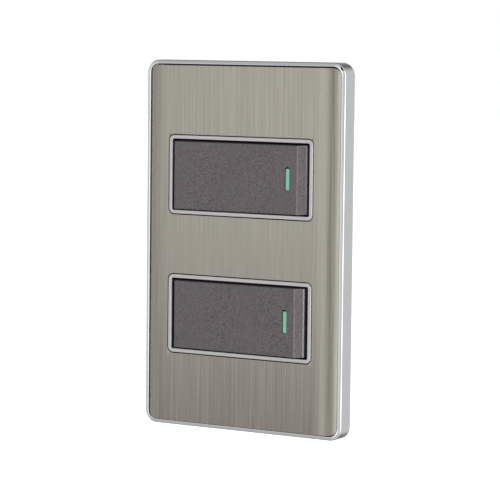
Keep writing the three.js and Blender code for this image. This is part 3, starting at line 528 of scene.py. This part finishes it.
def build_rocker(module):
    """The rocker cap, from its CAD mesh, with a soft front edge, a crisp crease and softened inner edges."""
    to_level = level_matrix(module)
    mesh = cad_mesh(f"{module}_rocker", to_level)
    join_planes(mesh)
    # Painted highlights: the finger strip, which faces the bright right-hand light, is given a lighter
    # colour, and so are the crease and front roundings below.
    painted_highlight = mesh.faces.layers.float.new("painted_highlight")
    for face in mesh.faces:
        if face.normal.x > STRIP_TILT and face.normal.y < -STRIP_TILT:
            face[painted_highlight] = STRIP_PAINTED_LIGHT
    # The front roundings are lightened by how far they face right, a painted glint; the crease gets a painted
    # highlight line.
    for face in bevel(mesh, [edge for edge in mesh.edges if is_front_edge(edge)], **FRONT_ROUND):
        face[painted_highlight] = EDGE_PAINTED_GLINT * max(0.0, face.normal.x)
    for face in bevel(mesh, [edge for edge in mesh.edges if is_crease(edge)], **CREASE_ROUND):
        face[painted_highlight] = CREASE_PAINTED_HIGHLIGHT
    bevel(mesh, sharp_edges(mesh), **INNER_ROUND)
    bmesh.ops.transform(mesh, matrix=to_level.inverted(), verts=mesh.verts)
    name = f"{module}_rocker_fine"
    make_object(name, written(mesh, name), f"{module}_rocker_body", "rocker_plastic", [f"{module}_rocker"])


def build_mark(module, centre_z):
    """The luminous mark: a softly rounded bar, slightly below the rocker's face."""
    front = ROCKER_FRONT + MARK_RECESS
    middle = centre_z - MARK_TOP_GAP / 2
    end_radius = MARK_WIDTH / 2 - NEAR
    bar = rounded_rectangle(MARK_WIDTH, MARK_LENGTH - MARK_TOP_GAP, end_radius, middle, MARK_END_STEPS)
    mesh = cut_sheet([[(x + MARK_X, z) for x, z in bar]], front, front + MARK_DEPTH, MARK_ROUND)
    bmesh.ops.transform(mesh, matrix=level_matrix(module).inverted(), verts=mesh.verts)
    name = f"{module}_mark_fine"
    make_object(name, written(mesh, name), f"{module}_rocker_body", "luminous_mark", [f"{module}_mark"])


# ---------------------------------------------------------------- CAD nodes that keep their meshes


def smooth_by_angle():
    """A node group that smooths a CAD mesh and keeps its edges over SHARP_ANGLE sharp."""
    tree = bpy.data.node_groups.new("smooth_by_angle", "GeometryNodeTree")
    tree.interface.new_socket("Geometry", in_out="INPUT", socket_type="NodeSocketGeometry")
    tree.interface.new_socket("Geometry", in_out="OUTPUT", socket_type="NodeSocketGeometry")
    start = node(tree, "NodeGroupInput").outputs[0]
    bare = node(tree, "GeometryNodeRemoveAttribute", {"Geometry": start, "Name": "custom_normal"}).outputs[0]
    smooth = node(tree, "GeometryNodeSetShadeSmooth", {"Geometry": bare}).outputs[0]
    angle = node(tree, "GeometryNodeInputMeshEdgeAngle").outputs[0]
    sharp = node(tree, "FunctionNodeCompare", {0: angle, 1: SHARP_ANGLE}, operation="GREATER_THAN").outputs[0]
    creased = node(
        tree,
        "GeometryNodeSetShadeSmooth",
        {"Geometry": smooth, "Selection": sharp, "Shade Smooth": False},
        domain="EDGE",
    )
    node(tree, "NodeGroupOutput", {0: creased.outputs[0]})
    return tree


def soften_cad_nodes():
    """Gives each CAD node its material, small rounded edges and smooth curved faces."""
    tree = smooth_by_angle()
    for piece in frame["nodes"].values():
        slot = piece.data.materials[0].name
        piece.material_slots[0].material = MATERIALS[slot.split(".")[0]]
        weld = piece.modifiers.new("weld", "WELD")
        weld.merge_threshold = SAME_POINT * MM
        planar = piece.modifiers.new("planar", "DECIMATE")
        planar.decimate_type = "DISSOLVE"
        planar.angle_limit = SAME_PLANE
        rounding = piece.modifiers.new("rounding", "BEVEL")
        rounding.limit_method = "ANGLE"
        rounding.angle_limit = SHARP_ANGLE
        rounding.width = CAD_ROUND * MM
        rounding.segments = EDGE_STEPS
        piece.modifiers.new("smooth", "NODES").node_group = tree
        normals = piece.modifiers.new("flat_faces_stay_flat", "WEIGHTED_NORMAL")
        normals.keep_sharp = True


# ---------------------------------------------------------------- screws

THREAD_PITCH = 0.7
THREAD_DEPTH = 0.32
THREAD_RINGS = 8  # rings of points in one pitch
THREAD_SIDES = 32
POINT_LENGTH = 1.5  # of the whole sharp point, in shank radii
POINT_CUT = 0.5  # how much of it is cut off, in shank radii
HEAD_ROUND = {"width": 0.15, "steps": 2}
BOX_SCREW = {"head": 1.7, "shank": 1.95}
PLATE_SCREW = {"head": 1.2, "shank": 1.65}


def thread_radius(shank, from_start, to_end, turn):
    """Radius of a pointed thread's surface at a distance from its start and end, a share of a turn round."""
    wave = (from_start / THREAD_PITCH - turn) % 1
    crest = 1 - abs(2 * wave - 1)
    point = min(1.0, (to_end / shank + POINT_CUT) / POINT_LENGTH)
    return (shank - THREAD_DEPTH * (1 - crest)) * point


def screw_head(name, neck):
    """The CAD screw's head with its cross recess, cut off at its neck and closed."""
    mesh = cad_mesh(name)
    whole = mesh.verts[:] + mesh.edges[:] + mesh.faces[:]
    bmesh.ops.bisect_plane(mesh, geom=whole, plane_co=(0, neck * MM, 0), plane_no=(0, 1, 0), clear_outer=True)
    bmesh.ops.holes_fill(mesh, edges=mesh.edges)
    join_planes(mesh)
    bevel(mesh, sharp_edges(mesh), **HEAD_ROUND)
    return mesh


def add_thread(mesh, shank, seat, length, centre):
    """Adds a closed shank with a thread round it, along Y from the head's seat."""
    steps = round(length / THREAD_PITCH * THREAD_RINGS)
    rings = []
    for step in range(steps + 1):
        along = length * step / steps
        ring = []
        for side in range(THREAD_SIDES):
            turn = side / THREAD_SIDES
            radius = thread_radius(shank, along, length - along, turn)
            angle = 2 * math.pi * turn
            x = centre.x + radius * math.cos(angle)
            z = centre.z + radius * math.sin(angle)
            ring.append(mesh.verts.new(Vector((x, seat + along, z)) * MM))
        rings.append(ring)
    for ring, following in zip(rings, rings[1:]):
        for side in range(THREAD_SIDES):
            beside = (side + 1) % THREAD_SIDES
            mesh.faces.new((ring[side], ring[beside], following[beside], following[side]))
    mesh.faces.new(rings[0])
    mesh.faces.new(rings[-1])


def build_screw(name, size):
    """A screw: the CAD node's head on a shank with a real thread."""
    low, high = (Vector(corner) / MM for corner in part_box(name))
    seat = low.y + size["head"]
    mesh = screw_head(name, seat + THREAD_PITCH)
    add_thread(mesh, size["shank"], seat, high.y - seat, (low + high) / 2)
    bmesh.ops.recalc_face_normals(mesh, faces=mesh.faces)
    make_object(f"{name}_fine", written(mesh, f"{name}_fine"), "switch_body", "zinc_steel", [name])


# ---------------------------------------------------------------- light, floor and camera

CAMERA_AZIMUTH = math.radians(31.857)
CAMERA_ELEVATION = math.radians(4.868)
CAMERA_ROLL = math.radians(0.628)
CAMERA_DISTANCE = 835.3
CAMERA_OFFSET = (-0.76, -1.249)
CAMERA_LENS = 185.08
SENSOR_WIDTH = 36.0
CAMERA_CLIP = 10
FLOOR_HALF_SIZE = 6000
FLOOR_DROP = 200
FLOOR_GREY = 0.9
FLOOR_ROUGHNESS = 0.9
FLOOR_GLOW = 0.8


def build_camera():
    """A long-lens camera to the right of the switch and a little above it."""
    level = math.cos(CAMERA_ELEVATION)
    level_right = Vector((math.cos(CAMERA_AZIMUTH), math.sin(CAMERA_AZIMUTH), 0))
    back = Vector((level_right.y * level, -level_right.x * level, math.sin(CAMERA_ELEVATION)))
    level_up = back.cross(level_right)
    right = math.cos(CAMERA_ROLL) * level_right + math.sin(CAMERA_ROLL) * level_up
    up = math.cos(CAMERA_ROLL) * level_up - math.sin(CAMERA_ROLL) * level_right
    place = back * CAMERA_DISTANCE + right * CAMERA_OFFSET[0] + up * CAMERA_OFFSET[1]
    data = bpy.data.cameras.new("camera")
    data.lens = CAMERA_LENS
    data.sensor_width = SENSOR_WIDTH
    data.clip_start = CAMERA_CLIP * MM
    camera = bpy.data.objects.new("camera", data)
    camera.matrix_world = Matrix.Translation(place * MM) @ Matrix((right, up, back)).transposed().to_4x4()
    bpy.context.scene.collection.objects.link(camera)
    bpy.context.scene.camera = camera


# Studio light by azimuth in degrees, where 0 is straight ahead of the plate and + is to its right.
STUDIO = [
    (-180, 0.3),
    (-135, 0.35),
    (-95, 0.62),
    (-65, 0.75),
    (-45, 0.98),
    (-32, 1.03),
    (-22, 1.3),
    (-2, 1.25),
    (7, 0.8),
    (15, 0.45),
    (23, 0.45),
    (30, 1.0),
    (45, 2.0),
    (62, 2.8),
    (80, 2.0),
    (94, 0.9),
    (140, 0.66),
    (165, 0.66),
    (180, 0.3),
]
# Share of it by elevation.
STUDIO_HEIGHT = [(-90, 0.5), (-38, 0.55), (-22, 1), (18, 1), (32, 0.55), (55, 0.45), (90, 0.6)]
# Cards that hide the studio: the share of each colour that they take, by azimuth and by elevation.
CARDS = [
    {
        "takes": (1, 1, 1),
        "azimuth": [(-180, 0), (-6, 0), (-3, 1), (12, 1), (15, 0), (180, 0)],
        "elevation": [(-90, 0), (17, 0), (20, 1), (42, 1), (46, 0), (90, 0)],
    },
    {
        "takes": (0.61, 0.65, 0.63),
        "azimuth": [(-180, 0), (-62, 0), (-50, 1), (-18, 1), (-6, 0), (180, 0)],
        "elevation": [(-90, 0), (-24, 0), (-15, 1), (-9.4, 1), (-5.4, 0), (90, 0)],
    },
]


def ramp(tree, value, stops, low, high):
    """A ramp over low..high degrees whose stops are (angle, brightness)."""
    limits = {"Value": value, "From Min": math.radians(low), "From Max": math.radians(high)}
    share = node(tree, "ShaderNodeMapRange", limits).outputs[0]
    made = node(tree, "ShaderNodeValToRGB", {"Fac": share})
    made.color_ramp.interpolation = "EASE"
    elements = made.color_ramp.elements
    for angle, _ in stops[1:-1]:
        elements.new((angle - low) / (high - low))
    for element, (_, level) in zip(elements, stops):
        element.color = (level, level, level, 1)
    return made.outputs["Color"]


def product(tree, first, second):
    """The product of two colours."""
    return node(tree, "ShaderNodeVectorMath", {0: first, 1: second}, operation="MULTIPLY").outputs[0]


def build_studio():
    """A soft wrap-round studio that the metal reflects, seen by the camera as plain white."""
    world = bpy.data.worlds.new("studio")
    bpy.context.scene.world = world
    world.use_nodes = True
    tree = world.node_tree
    tree.nodes.clear()
    direction = node(tree, "ShaderNodeTexCoord").outputs["Generated"]
    parts = node(tree, "ShaderNodeSeparateXYZ", {0: direction}).outputs
    ahead = node(tree, "ShaderNodeMath", {0: parts["Y"], 1: -1.0}, operation="MULTIPLY").outputs[0]
    azimuth = node(tree, "ShaderNodeMath", {0: parts["X"], 1: ahead}, operation="ARCTAN2").outputs[0]
    elevation = node(tree, "ShaderNodeMath", {0: parts["Z"]}, operation="ARCSINE").outputs[0]
    around = ramp(tree, azimuth, STUDIO, -180, 180)
    light = product(tree, around, ramp(tree, elevation, STUDIO_HEIGHT, -90, 90))
    for card in CARDS:
        across = ramp(tree, azimuth, card["azimuth"], -180, 180)
        up = ramp(tree, elevation, card["elevation"], -90, 90)
        taken = product(tree, product(tree, across, up), card["takes"])
        kept = node(tree, "ShaderNodeVectorMath", {0: (1, 1, 1), 1: taken}, operation="SUBTRACT").outputs[0]
        light = product(tree, light, kept)
    soft = node(tree, "ShaderNodeBackground", {"Color": light, "Strength": 1.0}).outputs[0]
    white = node(tree, "ShaderNodeBackground", {"Color": (1, 1, 1, 1), "Strength": 1.0}).outputs[0]
    seen = node(tree, "ShaderNodeLightPath").outputs["Is Camera Ray"]
    mixed = node(tree, "ShaderNodeMixShader", {0: seen, 1: soft, 2: white}).outputs[0]
    node(tree, "ShaderNodeOutputWorld", {"Surface": mixed})
    bpy.context.scene.view_settings.view_transform = "Standard"


def build_floor():
    """A plain pale floor well below the switch, bright enough to meet the background without an edge."""
    mesh = bmesh.new()
    bmesh.ops.create_grid(mesh, x_segments=1, y_segments=1, size=FLOOR_HALF_SIZE * MM)
    bmesh.ops.translate(mesh, vec=(0, 0, -FLOOR_DROP * MM), verts=mesh.verts)
    floor = bpy.data.objects.new("floor", written(mesh, "floor"))
    bpy.context.scene.collection.objects.link(floor)
    material = bpy.data.materials.new("floor")
    material.use_nodes = True
    shader = material.node_tree.nodes["Principled BSDF"]
    shader.inputs["Base Color"].default_value = (FLOOR_GREY, FLOOR_GREY, FLOOR_GREY, 1)
    shader.inputs["Roughness"].default_value = FLOOR_ROUGHNESS
    shader.inputs["Emission Color"].default_value = (1, 1, 1, 1)
    shader.inputs["Emission Strength"].default_value = FLOOR_GLOW
    floor.data.materials.append(material)
    floor.visible_glossy = False
    floor.visible_diffuse = False


soften_cad_nodes()
build_trim_frame()
build_face_plate()
build_gap_shade_strips()
for module, centre_z in MODULE_CENTRES.items():
    build_bezel(module, centre_z)
    build_rocker(module)
    build_mark(module, centre_z)
for end in ("top", "bottom"):
    build_screw(f"box_screw_{end}", BOX_SCREW)
    build_screw(f"plate_screw_{end}", PLATE_SCREW)
build_camera()
build_studio()
build_floor()
